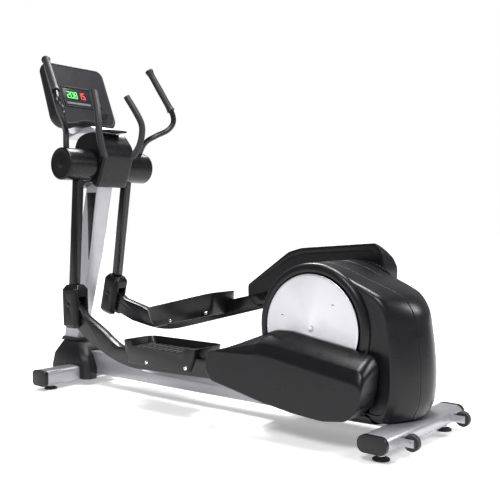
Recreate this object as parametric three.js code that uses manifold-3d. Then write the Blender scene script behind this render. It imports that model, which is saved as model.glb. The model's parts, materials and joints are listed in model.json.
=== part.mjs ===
// Rear-drive elliptical trainer, modelled as an assembly of separate pieces.
// Units are millimetres. +X points to the rear (drive housing), -X to the front (console),
// -Y is the user's left, +Y the user's right, +Z is up and the floor is z = 0.
import * as THREE from 'three';
import { mergeVertices } from 'three/addons/utils/BufferGeometryUtils.js';
import Module from 'manifold-3d';

const wasm = await Module();
wasm.setup();

// ---------------------------------------------------------------- driving dimensions
const GAP = 0.4;                  // clearance kept between pieces that touch
const ORIGIN_SHIFT = 63.1;        // moves the middle of the machine's length to x = 0
const SIDES = { left: -1, right: 1 };

const SWING_AXIS = { x: -853, z: 1120 };   // shaft that carries both swing arms
const CRANK_AXIS = { x: 555, z: 428 };     // axle that carries both crank arms
const SWING_LENGTH = 690;         // swing shaft to the lower pivot
const LEVER_LENGTH = 1486;        // lower pivot to the crank pin
const CRANK_RADIUS = 200;
const REST_CRANK_ANGLE = -63;     // degrees, direction of the left crank pin from the axle

const HUB_RADIUS = 79;
const HUB_INNER = 104;            // |y| where the rotating hubs begin
const HUB_OUTER = 273;
const ARM_PLANE = 207;            // |y| of the lower pivots and of the pedal arms
const COVER_INNER = 198;          // |y| range of the lever covers
const COVER_OUTER = 303;

const BEAM_HALF_WIDTH = 45;
const BEAM_BOTTOM = 57;
const BEAM_TOP = 105;
const FRONT_BAR = { x: -972, z: 62, depth: 100, height: 75, halfLength: 305 };
const REAR_BAR = { x: 907, z: 68, depth: 116, height: 62, halfLength: 303 };
const BAR_CAP = 20;
const FOOT_Y = 254;
const FOOT_RADIUS = 32;

const HOUSING_HALF_WIDTH = 165;
const HOUSING_BAND = 66;          // |y| of the seams between the centre band and the side shells
const HOUSING_WALL = 5;
const DISC_RADIUS = 212;

// ---------------------------------------------------------------- materials
const paint = (color, roughness, metalness) =>
  new THREE.MeshStandardMaterial({ color, roughness, metalness });
const silverPaint = paint(0xc4c2c8, 0.38, 0.55);
const blackPaint = paint(0x17161a, 0.32, 0.3);
const darkPlastic = paint(0x343238, 0.5, 0);
const glossPlastic = paint(0x1c1b1f, 0.3, 0);
const rubber = paint(0x242328, 0.85, 0);
const steel = paint(0xb9bcc0, 0.28, 1);
const castIron = paint(0x55565a, 0.6, 0.8);
const discPaint = paint(0xdddde2, 0.3, 0.4);
const screen = paint(0x101316, 0.12, 0);

// ---------------------------------------------------------------- geometry helpers
const degrees = (radians) => THREE.MathUtils.radToDeg(radians);
const radians = (angle) => THREE.MathUtils.degToRad(angle);

function toSolid(geometry) {
  const bare = geometry.clone();
  bare.deleteAttribute('normal');
  bare.deleteAttribute('uv');
  const merged = mergeVertices(bare, 1e-3);
  return new wasm.Manifold(new wasm.Mesh({
    numProp: 3,
    vertProperties: new Float32Array(merged.attributes.position.array),
    triVerts: new Uint32Array(merged.index.array),
  }));
}

function toGeometry(solid) {
  const mesh = solid.getMesh();
  const geometry = new THREE.BufferGeometry();
  geometry.setAttribute('position', new THREE.BufferAttribute(mesh.vertProperties.slice(), 3));
  geometry.setIndex(new THREE.BufferAttribute(mesh.triVerts.slice(), 1));
  geometry.computeVertexNormals();
  return geometry;
}

function cut(body, ...tools) {
  return toGeometry(tools.reduce((solid, tool) => solid.subtract(toSolid(tool)), toSolid(body)));
}

function join(body, ...others) {
  return toGeometry(others.reduce((solid, other) => solid.add(toSolid(other)), toSolid(body)));
}

function box(x0, x1, y0, y1, z0, z1) {
  const geometry = new THREE.BoxGeometry(x1 - x0, y1 - y0, z1 - z0);
  return geometry.translate((x0 + x1) / 2, (y0 + y1) / 2, (z0 + z1) / 2);
}

// A plate: an outline in the XZ plane, as [x, z] points or a Shape, from y0 to y1.
function plate(outline, y0, y1, curveSegments = 4) {
  const shape = outline instanceof THREE.Shape
    ? outline
    : new THREE.Shape(outline.map(([x, z]) => new THREE.Vector2(x, z)));
  const geometry = new THREE.ExtrudeGeometry(shape, {
    depth: y1 - y0, bevelEnabled: false, curveSegments,
  });
  return geometry.rotateX(Math.PI / 2).translate(0, y1, 0);
}

// An upright rectangle with round corners, centred on (cx, cz).
function roundedOutline(cx, cz, width, height, radius) {
  const shape = new THREE.Shape();
  const x = cx - width / 2;
  const z = cz - height / 2;
  shape.moveTo(x + radius, z);
  shape.lineTo(x + width - radius, z);
  shape.absarc(x + width - radius, z + radius, radius, -Math.PI / 2, 0);
  shape.lineTo(x + width, z + height - radius);
  shape.absarc(x + width - radius, z + height - radius, radius, 0, Math.PI / 2);
  shape.lineTo(x + radius, z + height);
  shape.absarc(x + radius, z + height - radius, radius, Math.PI / 2, Math.PI);
  shape.lineTo(x, z + radius);
  shape.absarc(x + radius, z + radius, radius, Math.PI, 1.5 * Math.PI);
  return shape;
}

function cylinderY(x, z, radius, y0, y1, sides = 24) {
  const geometry = new THREE.CylinderGeometry(radius, radius, y1 - y0, sides);
  return geometry.translate(0, (y0 + y1) / 2, 0).translate(x, 0, z);
}

// A ring or disc turned about the Y axis: profile is [radius, y] points.
function turnedY(x, z, profile, sides = 36) {
  const points = profile.map(([r, y]) => new THREE.Vector2(r, y));
  return new THREE.LatheGeometry(points, sides).translate(x, 0, z);
}

// A round bar along a smooth curve through [x, y, z] points.
function bentBar(points, radius, steps = 24, sides = 12) {
  const curve = new THREE.CatmullRomCurve3(
    points.map(([x, y, z]) => new THREE.Vector3(x, y, z)), false, 'centripetal');
  const section = new THREE.Shape();
  section.absarc(0, 0, radius, 0, 2 * Math.PI);
  return new THREE.ExtrudeGeometry(section, {
    steps, extrudePath: curve, bevelEnabled: false, curveSegments: sides / 2,
  });
}

// A closed skin through rings of equal point count, flat at both ends.
function loft(rings) {
  const count = rings[0].length;
  const vertices = rings.flat(2);
  const index = [];
  for (let ring = 0; ring + 1 < rings.length; ring += 1) {
    for (let i = 0; i < count; i += 1) {
      const a = ring * count + i;
      const b = ring * count + (i + 1) % count;
      index.push(a, b, b + count, a, b + count, a + count);
    }
  }
  const last = (rings.length - 1) * count;
  for (let i = 1; i + 1 < count; i += 1) {
    index.push(0, i + 1, i);
    index.push(last, last + i, last + i + 1);
  }
  const geometry = new THREE.BufferGeometry();
  geometry.setAttribute('position', new THREE.Float32BufferAttribute(vertices, 3));
  geometry.setIndex(index);
  geometry.computeVertexNormals();
  return geometry;
}

// A horizontal ring for loft: a rectangle with chamfered corners, counter-clockwise from above.
function levelRing(z, x0, x1, halfWidth, chamfer) {
  const c = chamfer;
  return [
    [x0 + c, -halfWidth, z], [x1 - c, -halfWidth, z], [x1, -halfWidth + c, z],
    [x1, halfWidth - c, z], [x1 - c, halfWidth, z], [x0 + c, halfWidth, z],
    [x0, halfWidth - c, z], [x0, -halfWidth + c, z],
  ];
}

// ---------------------------------------------------------------- scene graph helpers
const machine = new THREE.Group();
machine.position.x = ORIGIN_SHIFT;

function add(name, geometry, material, parent = machine) {
  const mesh = new THREE.Mesh(geometry, material);
  mesh.name = name;
  parent.add(mesh);
  return mesh;
}

function mirrored(geometry, side) {
  if (side < 0) return geometry;
  const copy = geometry.clone().scale(1, -1, 1);
  const source = copy.index ? copy : mergeVertices(copy, 1e-3);
  const index = source.index.array;
  for (let i = 0; i < index.length; i += 3) {
    [index[i + 1], index[i + 2]] = [index[i + 2], index[i + 1]];
  }
  source.computeVertexNormals();
  return source;
}

// A body turned about a vertical line: profile is [radius, z] points, from the axis to the axis.
function turnedZ(x, y, profile, sides = 16) {
  const points = profile.map(([r, z]) => new THREE.Vector2(r, z));
  return new THREE.LatheGeometry(points, sides).rotateX(Math.PI / 2).translate(x, y, 0);
}

// A point on a circle about a centre in the XZ plane.
function onCircle(centre, radius, angle) {
  return {
    x: centre.x + radius * Math.cos(radians(angle)),
    z: centre.z + radius * Math.sin(radians(angle)),
  };
}

// ---------------------------------------------------------------- linkage at rest
// Each side is a four-bar linkage: swing arm, lever, crank. For a crank angle this gives the
// swing arm's angle (positive with its lower end forward) and the lever's pitch, in degrees.
function linkagePose(crankAngle) {
  const pin = onCircle(CRANK_AXIS, CRANK_RADIUS, crankAngle);
  const dx = pin.x - SWING_AXIS.x;
  const dz = pin.z - SWING_AXIS.z;
  const reach = Math.hypot(dx, dz);
  const inner = Math.acos(
    (SWING_LENGTH ** 2 + reach ** 2 - LEVER_LENGTH ** 2) / (2 * SWING_LENGTH * reach));
  const armDirection = Math.atan2(dz, dx) - inner;
  const pivot = {
    x: SWING_AXIS.x + SWING_LENGTH * Math.cos(armDirection),
    z: SWING_AXIS.z + SWING_LENGTH * Math.sin(armDirection),
  };
  return {
    swing: -90 - degrees(armDirection),
    pivot,
    pitch: degrees(Math.atan2(pin.z - pivot.z, pin.x - pivot.x)),
  };
}

const pose = { left: linkagePose(REST_CRANK_ANGLE), right: linkagePose(REST_CRANK_ANGLE + 180) };

// ---------------------------------------------------------------- base frame
const barTop = (bar) => bar.z + bar.height / 2;
const barBottom = (bar) => bar.z - bar.height / 2;
const barSection = (bar, radius, grow = 0) =>
  roundedOutline(bar.x, bar.z, bar.depth + grow, bar.height + grow, radius);

function mainBeam() {
  const front = -1120;
  const rear = REAR_BAR.x - REAR_BAR.depth / 2 - GAP;
  const gussetTop = 168;
  const side = plate([
    [front, BEAM_BOTTOM], [rear, BEAM_BOTTOM], [rear, BEAM_TOP], [-430, BEAM_TOP], [-520, 112],
    [-631, 144], [-720, gussetTop], [front, gussetTop],
  ], -BEAM_HALF_WIDTH, BEAM_HALF_WIDTH);
  const half = FRONT_BAR.depth / 2 + GAP;
  const saddle = box(FRONT_BAR.x - half, FRONT_BAR.x + half, -100, 100, 0, barTop(FRONT_BAR) + GAP);
  return cut(side, saddle);
}

function levellingFoot(x, y, top) {
  return turnedZ(x, y, [[0, 0], [FOOT_RADIUS, 0], [FOOT_RADIUS, 7], [24, 13], [7, 14], [7, top], [0, top]]);
}

function buildBase() {
  add('main_beam', mainBeam(), silverPaint);
  const bars = { front: [FRONT_BAR, 20], rear: [REAR_BAR, 29] };
  for (const [end, [bar, radius]] of Object.entries(bars)) {
    const tube = plate(barSection(bar, radius), -bar.halfLength, bar.halfLength, 3);
    add(`${end}_stabiliser`, end === 'rear' ? withWheelBrackets(tube) : tube, silverPaint);
    for (const [side, sign] of Object.entries(SIDES)) {
      const cap = plate(barSection(bar, radius, 2), -bar.halfLength - BAR_CAP, -bar.halfLength - GAP, 3);
      add(`${end}_stabiliser_cap_${side}`, mirrored(cap, sign), darkPlastic);
      const foot = levellingFoot(bar.x, sign * FOOT_Y, barBottom(bar) - GAP);
      add(`${end}_levelling_foot_${side}`, foot, rubber);
    }
  }
}

const WHEEL = { x: 1007, z: 70, y: 213, radius: 31, halfWidth: 12, bore: 4.5 };

function wheelBracket() {
  const face = REAR_BAR.x + REAR_BAR.depth / 2 - 7;
  const inner = WHEEL.halfWidth + 1.5;
  const outer = inner + 4;
  const ears = box(face, WHEEL.x + 14, WHEEL.y - outer, WHEEL.y + outer, WHEEL.z - 14, WHEEL.z + 14);
  const slot = box(face + 9, WHEEL.x + 30, WHEEL.y - inner, WHEEL.y + inner, 0, 200);
  const bolt = cylinderY(WHEEL.x, WHEEL.z, WHEEL.bore - GAP, WHEEL.y - outer - 3, WHEEL.y + outer + 3, 12);
  return join(cut(ears, slot), bolt);
}

// The brackets are welded to the rear face of the stabiliser.
function withWheelBrackets(tube) {
  return join(tube, wheelBracket(), mirrored(wheelBracket(), 1));
}

function transportWheel() {
  const { x, z, y, radius, halfWidth, bore } = WHEEL;
  return turnedY(x, z, [
    [bore, y - halfWidth], [16, y - halfWidth], [18, y - halfWidth + 3], [26, y - halfWidth + 3],
    [radius - 3, y - halfWidth], [radius, y - 7], [radius, y + 7], [radius - 3, y + halfWidth],
    [26, y + halfWidth - 3], [18, y + halfWidth - 3], [16, y + halfWidth], [bore, y + halfWidth],
    [bore, y - halfWidth],
  ], 20);
}

function buildTransportWheels() {
  for (const [side, sign] of Object.entries(SIDES)) {
    add(`transport_wheel_${side}`, mirrored(transportWheel(), sign), rubber);
  }
}

// ---------------------------------------------------------------- mast, boot and shroud
const MAST_FOOT = 168 + GAP;
const MAST_TOP = 1250;
// Level sections of the mast, bottom to top: height, front x, rear x, half width.
const MAST_SECTIONS = [
  [MAST_FOOT, -1157, -1042, 36], [215, -1145, -1030, 37], [400, -1096, -983, 38], [560, -1054, -940, 40],
  [690, -1019, -904, 42], [850, -977, -876, 46], [1000, -937, -844, 50], [1120, -912, -806, 50],
  [MAST_TOP, -912, -806, 50],
];
const SHAFT_RADIUS = 20;
const SHROUD_HALF_WIDTH = 100;
const SHROUD_WALL = 5;

function mastSectionAt(height) {
  const upper = MAST_SECTIONS.findIndex(([z]) => z >= height);
  const [z0, ...low] = MAST_SECTIONS[upper - 1];
  const [z1, ...high] = MAST_SECTIONS[upper];
  const t = (height - z0) / (z1 - z0);
  return low.map((value, i) => value + t * (high[i] - value));
}

function mast() {
  const column = loft(MAST_SECTIONS.map(([z, x0, x1, half]) => levelRing(z, x0, x1, half, 6)));
  return cut(column, cylinderY(SWING_AXIS.x, SWING_AXIS.z, SHAFT_RADIUS + GAP, -80, 80));
}

// The dark inlay on each side of the mast, a long triangle standing on its point.
function mastInlay() {
  const thickness = 2;
  const heights = [640, 760, 880, 985];
  const frontEdge = -925;
  const rings = heights.map((z) => {
    const [, rear, half] = mastSectionAt(z);
    const y = -half - GAP;
    const x1 = rear - 8;
    const x0 = Math.min(frontEdge, x1 - 2);
    return [[x0, y - thickness, z], [x1, y - thickness, z], [x1, y, z], [x0, y, z]];
  });
  return loft(rings);
}

function mastBoot() {
  const shape = loft([
    levelRing(32, -1162, -866, 112, 22), levelRing(90, -1160, -864, 114, 22),
    levelRing(150, -1150, -892, 110, 26), levelRing(207, -1122, -948, 84, 30),
  ]);
  const half = FRONT_BAR.depth / 2 + 2;
  const barArch = box(FRONT_BAR.x - half, FRONT_BAR.x + half, -150, 150, 0, barTop(FRONT_BAR) + 2);
  const beamTunnel = box(-1121, -800, -BEAM_HALF_WIDTH - 1, BEAM_HALF_WIDTH + 1, 0, MAST_FOOT + 1);
  const [front, rear, halfWidth] = mastSectionAt(210);
  const mastHole = box(front - 16, rear + 1, -halfWidth - 1, halfWidth + 1, MAST_FOOT - 10, 220);
  return cut(shape, barArch, beamTunnel, mastHole);
}

function mastCollar() {
  const z0 = 207 + GAP;
  const z1 = 226;
  const [front, rear, half] = mastSectionAt(z1);
  const [lowFront, lowRear] = mastSectionAt(z0);
  const block = loft([levelRing(z0, lowFront - 12, lowRear + 12, half + 12, 12),
    levelRing(z1, front - 9, rear + 9, half + 9, 12)]);
  const hole = loft([levelRing(z0 - 1, lowFront - 1, lowRear + 1, half + 0.8, 5),
    levelRing(z1 + 1, front - 1, rear + 1, half + 0.8, 5)]);
  return cut(block, hole);
}

function shroudOutline(inset) {
  const top = 1284 - inset;
  const shape = new THREE.Shape();
  shape.moveTo(-958 + inset, 1007);
  shape.lineTo(-796 - inset, 1015);
  shape.lineTo(-738 - inset, 1150);
  shape.quadraticCurveTo(-728 - inset, 1205, -760 - inset, 1240 - inset);
  shape.lineTo(-806, top);
  shape.lineTo(-872, top);
  shape.quadraticCurveTo(-940 + inset, 1275 - inset, -966 + inset, 1205);
  shape.quadraticCurveTo(-984 + inset, 1100, -958 + inset, 1007);
  return shape;
}

function pivotShroud() {
  const outer = plate(shroudOutline(0), -SHROUD_HALF_WIDTH, SHROUD_HALF_WIDTH, 8);
  const innerHalf = SHROUD_HALF_WIDTH - SHROUD_WALL;
  const inner = plate(shroudOutline(SHROUD_WALL), -innerHalf, innerHalf, 8);
  const bottom = box(-953, -801, -innerHalf, innerHalf, 990, 1030);
  const shaftHole = cylinderY(SWING_AXIS.x, SWING_AXIS.z, SHAFT_RADIUS + 4, -120, 120);
  const neckHole = box(-916, -803, -52, 52, 1240, 1300);
  // the lower edge of the rear wall arches over the mast
  const arch = plate([[-840, 990], [-700, 990], [-700, 1066], [-840, 1066]], -56, 56);
  return cut(outer, inner, bottom, shaftHole, neckHole, arch);
}

const CONSOLE = { tilt: 22.4, width: 392, height: 356, depth: 74, centre: { x: -1028, z: 1494.5 } };
const NECK_HALF_WIDTH = 87;

// A point of the console's side view: out is measured from the face, up along it.
function consolePoint(out, up) {
  const tilt = radians(CONSOLE.tilt);
  return [
    CONSOLE.centre.x + out * Math.cos(tilt) - up * Math.sin(tilt),
    CONSOLE.centre.z + out * Math.sin(tilt) + up * Math.cos(tilt),
  ];
}

// The silver neck runs forward under the console and up its back.
function consoleNeck() {
  const half = NECK_HALF_WIDTH;
  const back = -CONSOLE.depth - GAP;
  const head = plate([
    [-872, 1284 + GAP], [-830, 1284 + GAP], [-830, 1306], [-846, 1316], [-905, 1310], [-1000, 1284],
    consolePoint(back - 14, -178), consolePoint(back, -150), consolePoint(back, -30),
    consolePoint(back - 26, -36), consolePoint(back - 38, -150), [-1048, 1262], [-950, 1286],
  ], -half, half);
  const stem = box(-911, -808, -49, 49, MAST_TOP + GAP, 1292);
  return join(head, stem);
}

function bottleHolder() {
  const tray = box(-806, -745, -52, 62, 1287.5, 1297);
  const recess = box(-798, -752, -44, 4, 1291, 1300);
  const recess2 = box(-798, -752, 10, 54, 1291, 1300);
  return cut(tray, recess, recess2);
}

function buildMast() {
  add('mast', mast(), silverPaint);
  for (const [side, sign] of Object.entries(SIDES)) {
    add(`mast_inlay_${side}`, mirrored(mastInlay(), sign), darkPlastic);
  }
  add('mast_boot', mastBoot(), darkPlastic);
  add('mast_collar', mastCollar(), rubber);
  add('pivot_shroud', pivotShroud(), darkPlastic);
  add('console_neck', consoleNeck(), silverPaint);
  const half = HUB_OUTER - 8 - GAP;
  add('pivot_shaft', cylinderY(SWING_AXIS.x, SWING_AXIS.z, SHAFT_RADIUS, -half, half, 24), steel);
}

// ---------------------------------------------------------------- fixed handlebars
const FIXED_BAR_RADIUS = 17;

function fixedHandlebar() {
  return bentBar([
    [-760, -72, 1150], [-738, -100, 1178], [-725, -128, 1225], [-721, -144, 1290], [-723, -145, 1335],
    [-747, -132, 1392], [-797, -108, 1482],
  ], FIXED_BAR_RADIUS, 16, 10);
}

function buildFixedHandlebars() {
  const keepOut = plate(shroudOutline(-GAP), -SHROUD_HALF_WIDTH - GAP, SHROUD_HALF_WIDTH + GAP, 8);
  const bar = cut(fixedHandlebar(), keepOut);
  for (const [side, sign] of Object.entries(SIDES)) {
    add(`fixed_handlebar_${side}`, mirrored(bar, sign), rubber);
  }
  add('bottle_holder', bottleHolder(), darkPlastic);
}

// ---------------------------------------------------------------- swing arms
// Local frame: origin on the swing shaft, -Z down the straight arm.
const SLEEVE = { top: -592, bottom: -805, halfX: 56, halfY: 46 };
const PIVOT_PIN_RADIUS = 9;
const ARM_HALF_WIDTH = 20;
const HANDLE_RADIUS = 14.5;
const GRIP = { start: [72, -343, 330], end: [-80, -280, 517] };

// The rotating hub with its closed outer end and a blind bore for the shaft.
function hub() {
  const bore = SHAFT_RADIUS + GAP;
  return turnedY(0, 0, [
    [0, -HUB_OUTER - 1], [HUB_RADIUS - 12, -HUB_OUTER], [HUB_RADIUS - 3, -HUB_OUTER + 3],
    [HUB_RADIUS, -HUB_OUTER + 8], [HUB_RADIUS, -HUB_INNER - 3], [HUB_RADIUS - 3, -HUB_INNER],
    [bore, -HUB_INNER], [bore, -HUB_OUTER + 8], [0, -HUB_OUTER + 8],
  ], 32);
}

function swingTube() {
  const tube = (z, y) => levelRing(z, -25, 25, 21, 7).map(([px, py, pz]) => [px, py + y, pz]);
  const straight = loft([tube(SLEEVE.top + GAP, -ARM_PLANE - 2), tube(-40, -165)]);
  return cut(straight, cylinderY(0, 0, HUB_RADIUS + GAP + 0.6, -300, 0, 32));
}

function swingHandle() {
  const [gx, gy, gz] = GRIP.start;
  const lean = GRIP.end.map((value, i) => (value - GRIP.start[i]) / 240);
  const inGrip = [gx + lean[0] * 36, gy + lean[1] * 36, gz + lean[2] * 36];
  const bar = bentBar([
    [-4, -232, 55], [4, -238, 110], [18, -248, 148], [52, -284, 190], [84, -328, 228], [95, -348, 264],
    [89, -351, 298], [gx, gy, gz], inGrip,
  ], HANDLE_RADIUS, 22, 10);
  return cut(bar, cylinderY(0, 0, HUB_RADIUS + GAP + 0.6, -300, 0, 32));
}

// Rubber grip, turned about its own axis and flared at both ends, with a blind bore for the bar.
function grip() {
  const start = new THREE.Vector3(...GRIP.start);
  const end = new THREE.Vector3(...GRIP.end);
  const length = start.distanceTo(end);
  const bore = HANDLE_RADIUS + 1;
  const boreDepth = 42;
  const profile = [
    [bore, 0], [22, 0], [22.5, 6], [19, 16], [17.5, 40], [18.5, length * 0.55], [17, length - 40],
    [19, length - 22], [23, length - 8], [22, length], [0, length],
    [0, boreDepth], [bore, boreDepth], [bore, 0],
  ];
  const points = profile.map(([r, y]) => new THREE.Vector2(r, y));
  const axis = end.clone().sub(start).normalize();
  const turn = new THREE.Quaternion().setFromUnitVectors(new THREE.Vector3(0, 1, 0), axis);
  return new THREE.LatheGeometry(points, 14).applyQuaternion(turn).translate(...GRIP.start);
}

function sleeve() {
  const { top, bottom, halfX, halfY } = SLEEVE;
  const ring = (z, inset) =>
    levelRing(z, -halfX + inset, halfX - inset, halfY - inset, 16)
      .map(([px, py, pz]) => [px, py - ARM_PLANE, pz]);
  const body = loft([ring(bottom, 12), ring(bottom + 16, 0), ring(top - 22, 0), ring(top, 14)]);
  const slotHalf = ARM_HALF_WIDTH + 2;
  const slot = box(-36, 80, -ARM_PLANE - slotHalf, -ARM_PLANE + slotHalf, bottom - 10, -SWING_LENGTH + 40);
  const pinHole = cylinderY(0, -SWING_LENGTH, PIVOT_PIN_RADIUS + GAP, -ARM_PLANE - 60, -ARM_PLANE + 60, 16);
  return cut(body, slot, pinHole);
}

function buildSwingArm(side, sign) {
  const arm = new THREE.Group();
  arm.position.set(SWING_AXIS.x, 0, SWING_AXIS.z);
  arm.rotation.y = radians(pose[side].swing);
  machine.add(arm);
  add(`swing_hub_${side}`, mirrored(hub(), sign), darkPlastic, arm);
  add(`swing_tube_${side}`, mirrored(swingTube(), sign), blackPaint, arm);
  add(`swing_handle_${side}`, mirrored(swingHandle(), sign), blackPaint, arm);
  add(`swing_grip_${side}`, mirrored(grip(), sign), rubber, arm);
  add(`pivot_sleeve_${side}`, mirrored(sleeve(), sign), darkPlastic, arm);
  const pin = cylinderY(0, 0, PIVOT_PIN_RADIUS, -ARM_PLANE - 40, -ARM_PLANE + 40, 16);
  const placed = add(`pivot_pin_${side}`, mirrored(pin, sign), steel);
  placed.position.set(pose[side].pivot.x, 0, pose[side].pivot.z);
}

// ---------------------------------------------------------------- pedal levers
// Local frame: origin on the lower pivot, +X towards the crank pin.
const LEVER_SLOPE = Math.atan(0.1237);     // pitch of the lever's straight stretch in its own frame
const STRAIGHT_START = { x: 330, z: -168 };
const LEVER_HALF_HEIGHT = 30;
const CRANK_PIN_RADIUS = 14;

function leverShape(grow) {
  const h = LEVER_HALF_HEIGHT + grow;
  const rise = (x) => STRAIGHT_START.z + Math.tan(LEVER_SLOPE) * (x - STRAIGHT_START.x);
  const end = LEVER_LENGTH + 34 + grow;
  const shape = new THREE.Shape();
  shape.moveTo(0.94 * h, 0.34 * h);
  shape.lineTo(90, -68 + h);
  shape.lineTo(231, -116 + h);
  shape.quadraticCurveTo(330, -165 + h, 372, rise(372) + h);
  shape.lineTo(LEVER_LENGTH - 160, rise(LEVER_LENGTH - 160) + h);
  shape.lineTo(LEVER_LENGTH - 30, 30 + grow);
  shape.lineTo(end, 30 + grow);
  shape.lineTo(end, -34 - grow);
  shape.lineTo(LEVER_LENGTH - 20, -60 - grow);
  shape.lineTo(500, -173 - h);
  shape.quadraticCurveTo(390, -188 - h, 270, -158 - h);
  shape.lineTo(150, -126 - h);
  shape.lineTo(30, -72 - h);
  shape.lineTo(-0.56 * h, -0.83 * h);
  shape.absarc(0, 0, h, radians(236), radians(20), true);
  return shape;
}

function lever() {
  const outer = -ARM_PLANE - ARM_HALF_WIDTH;
  const inner = -ARM_PLANE + ARM_HALF_WIDTH;
  const bar = plate(leverShape(0), outer, inner, 8);
  const crankPin = cylinderY(LEVER_LENGTH, 0, CRANK_PIN_RADIUS, inner - 10, -185, 16);
  return join(cut(bar, cylinderY(0, 0, PIVOT_PIN_RADIUS + GAP, outer - 9, inner + 9, 16)), crankPin);
}

// The faceted cover over the rear of the lever. Its top falls away towards the outside.
function leverCover() {
  const ring = (y, drop) => [
    [955, -80], [960, -8], [985, 5], [1212, 128 - 0.9 * drop], [1285, 140 - drop],
    [1666, 129 - drop], [1690, 92 - 0.7 * drop], [1694, 12], [1684, -56], [1640, -108],
    [1542, -134], [1410, -141], [1249, -138], [990, -118],
  ].map(([x, z]) => [x, y, z]);
  const shell = loft([ring(-COVER_OUTER, 88), ring(-286, 50), ring(-COVER_INNER, 0)]);
  const tunnel = plate(leverShape(1), -ARM_PLANE - ARM_HALF_WIDTH - 1, -COVER_INNER + 10, 8);
  const tail = box(LEVER_LENGTH - 60, LEVER_LENGTH + 36, -ARM_PLANE - ARM_HALF_WIDTH - 1, -190, -56, 32);
  return cut(shell, tunnel, tail);
}

// The foot tray sits over the straight stretch, in a frame that follows it.
function pedal() {
  const ring = (z, x0, x1, y0, y1, corner) => {
    const turn = (cx, cy, from) => [0, 30, 60, 90].map((step) => [
      cx + corner * Math.cos(radians(from + step)), cy + corner * Math.sin(radians(from + step)), z,
    ]);
    return [
      ...turn(x1 - corner, y0 + corner, -90), ...turn(x1 - corner, y1 - corner, 0),
      ...turn(x0 + corner, y1 - corner, 90), ...turn(x0 + corner, y0 + corner, 180),
    ];
  };
  const outer = loft([
    ring(-30, 96, 490, -244, -60, 26), ring(8, 78, 508, -249, -54, 34), ring(72, 64, 528, -252, -48, 44),
  ]);
  const trayPocket = loft([ring(38, 84, 506, -240, -60, 34), ring(80, 72, 520, -245, -55, 40)]);
  const underside = loft([ring(-40, 108, 478, -237, -67, 22), ring(31, 94, 492, -239, -64, 26)]);
  const tunnelHalf = ARM_HALF_WIDTH + 1;
  const tunnel = box(0, 600, -ARM_PLANE - tunnelHalf, -ARM_PLANE + tunnelHalf, -60, LEVER_HALF_HEIGHT + 1);
  const lip = plate([[122, 80], [146, 50], [448, 50], [478, 80]], -260, -232);
  return cut(outer, trayPocket, underside, tunnel, lip);
}

function buildLever(side, sign) {
  const group = new THREE.Group();
  group.position.set(pose[side].pivot.x, 0, pose[side].pivot.z);
  group.rotation.y = radians(-pose[side].pitch);
  machine.add(group);
  add(`pedal_lever_${side}`, mirrored(lever(), sign), blackPaint, group);
  add(`lever_cover_${side}`, mirrored(leverCover(), sign), darkPlastic, group);
  const tray = new THREE.Group();
  tray.position.set(STRAIGHT_START.x, 0, STRAIGHT_START.z);
  tray.rotation.y = -LEVER_SLOPE;
  group.add(tray);
  add(`pedal_${side}`, mirrored(pedal(), sign), glossPlastic, tray);
}

// ---------------------------------------------------------------- drive
const AXLE_RADIUS = 15;
const FLYWHEEL = { x: 790, z: 268, radius: 128, pulley: 22 };
const DRIVE_PULLEY = 150;
const BELT = { y0: 44, y1: 60, thickness: 3 };

function bearingPost(centre, width, halfDepth, bore) {
  const outline = new THREE.Shape();
  outline.moveTo(centre.x - width, BEAM_TOP + GAP);
  outline.lineTo(centre.x + width, BEAM_TOP + GAP);
  outline.lineTo(centre.x + width * 0.6, centre.z);
  outline.absarc(centre.x, centre.z, width * 0.6, 0, Math.PI);
  outline.lineTo(centre.x - width, BEAM_TOP + GAP);
  return cut(plate(outline, -halfDepth, halfDepth, 5),
    cylinderY(centre.x, centre.z, bore + GAP, -halfDepth - 5, halfDepth + 5, 18));
}

function wheelOnAxle(centre, radius, rim, web, hubRadius, bore, y0, y1) {
  const middle = (y0 + y1) / 2;
  return turnedY(centre.x, centre.z, [
    [bore, y0], [hubRadius, y0], [hubRadius, middle - web], [radius - rim, middle - web], [radius - rim, y0],
    [radius, y0], [radius, y1], [radius - rim, y1], [radius - rim, middle + web], [hubRadius, middle + web],
    [hubRadius, y1], [bore, y1], [bore, y0],
  ], 28);
}

function beltLoop(grow) {
  const big = { ...CRANK_AXIS, r: DRIVE_PULLEY + grow };
  const small = { ...FLYWHEEL, r: FLYWHEEL.pulley + grow };
  const along = Math.atan2(small.z - big.z, small.x - big.x);
  const wrap = Math.acos((big.r - small.r) / Math.hypot(small.x - big.x, small.z - big.z));
  const shape = new THREE.Shape();
  shape.absarc(big.x, big.z, big.r, along + wrap, along - wrap + 2 * Math.PI, false);
  shape.absarc(small.x, small.z, small.r, along - wrap, along + wrap, false);
  return shape;
}

function crankDisc() {
  return turnedY(CRANK_AXIS.x, CRANK_AXIS.z, [
    [0, -183], [DISC_RADIUS - 30, -184], [DISC_RADIUS - 4, -182], [DISC_RADIUS, -178],
    [DISC_RADIUS - 4, -177], [0, -177],
  ], 48);
}

function crankArm(angle) {
  const pin = onCircle(CRANK_AXIS, CRANK_RADIUS - 6, angle);
  const bar = box(0, CRANK_RADIUS - 6, -176, -166.5, -16, 16).rotateY(-radians(angle));
  bar.translate(CRANK_AXIS.x, 0, CRANK_AXIS.z);
  return join(bar, cylinderY(CRANK_AXIS.x, CRANK_AXIS.z, 30, -176, -166.5, 28),
    cylinderY(pin.x, pin.z, 16, -176, -166.5, 24));
}

// The axle with a crank arm welded to each end.
function crankshaft() {
  const axle = cylinderY(CRANK_AXIS.x, CRANK_AXIS.z, AXLE_RADIUS, -170, 170, 24);
  return join(axle, crankArm(REST_CRANK_ANGLE), mirrored(crankArm(REST_CRANK_ANGLE + 180), 1));
}

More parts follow.
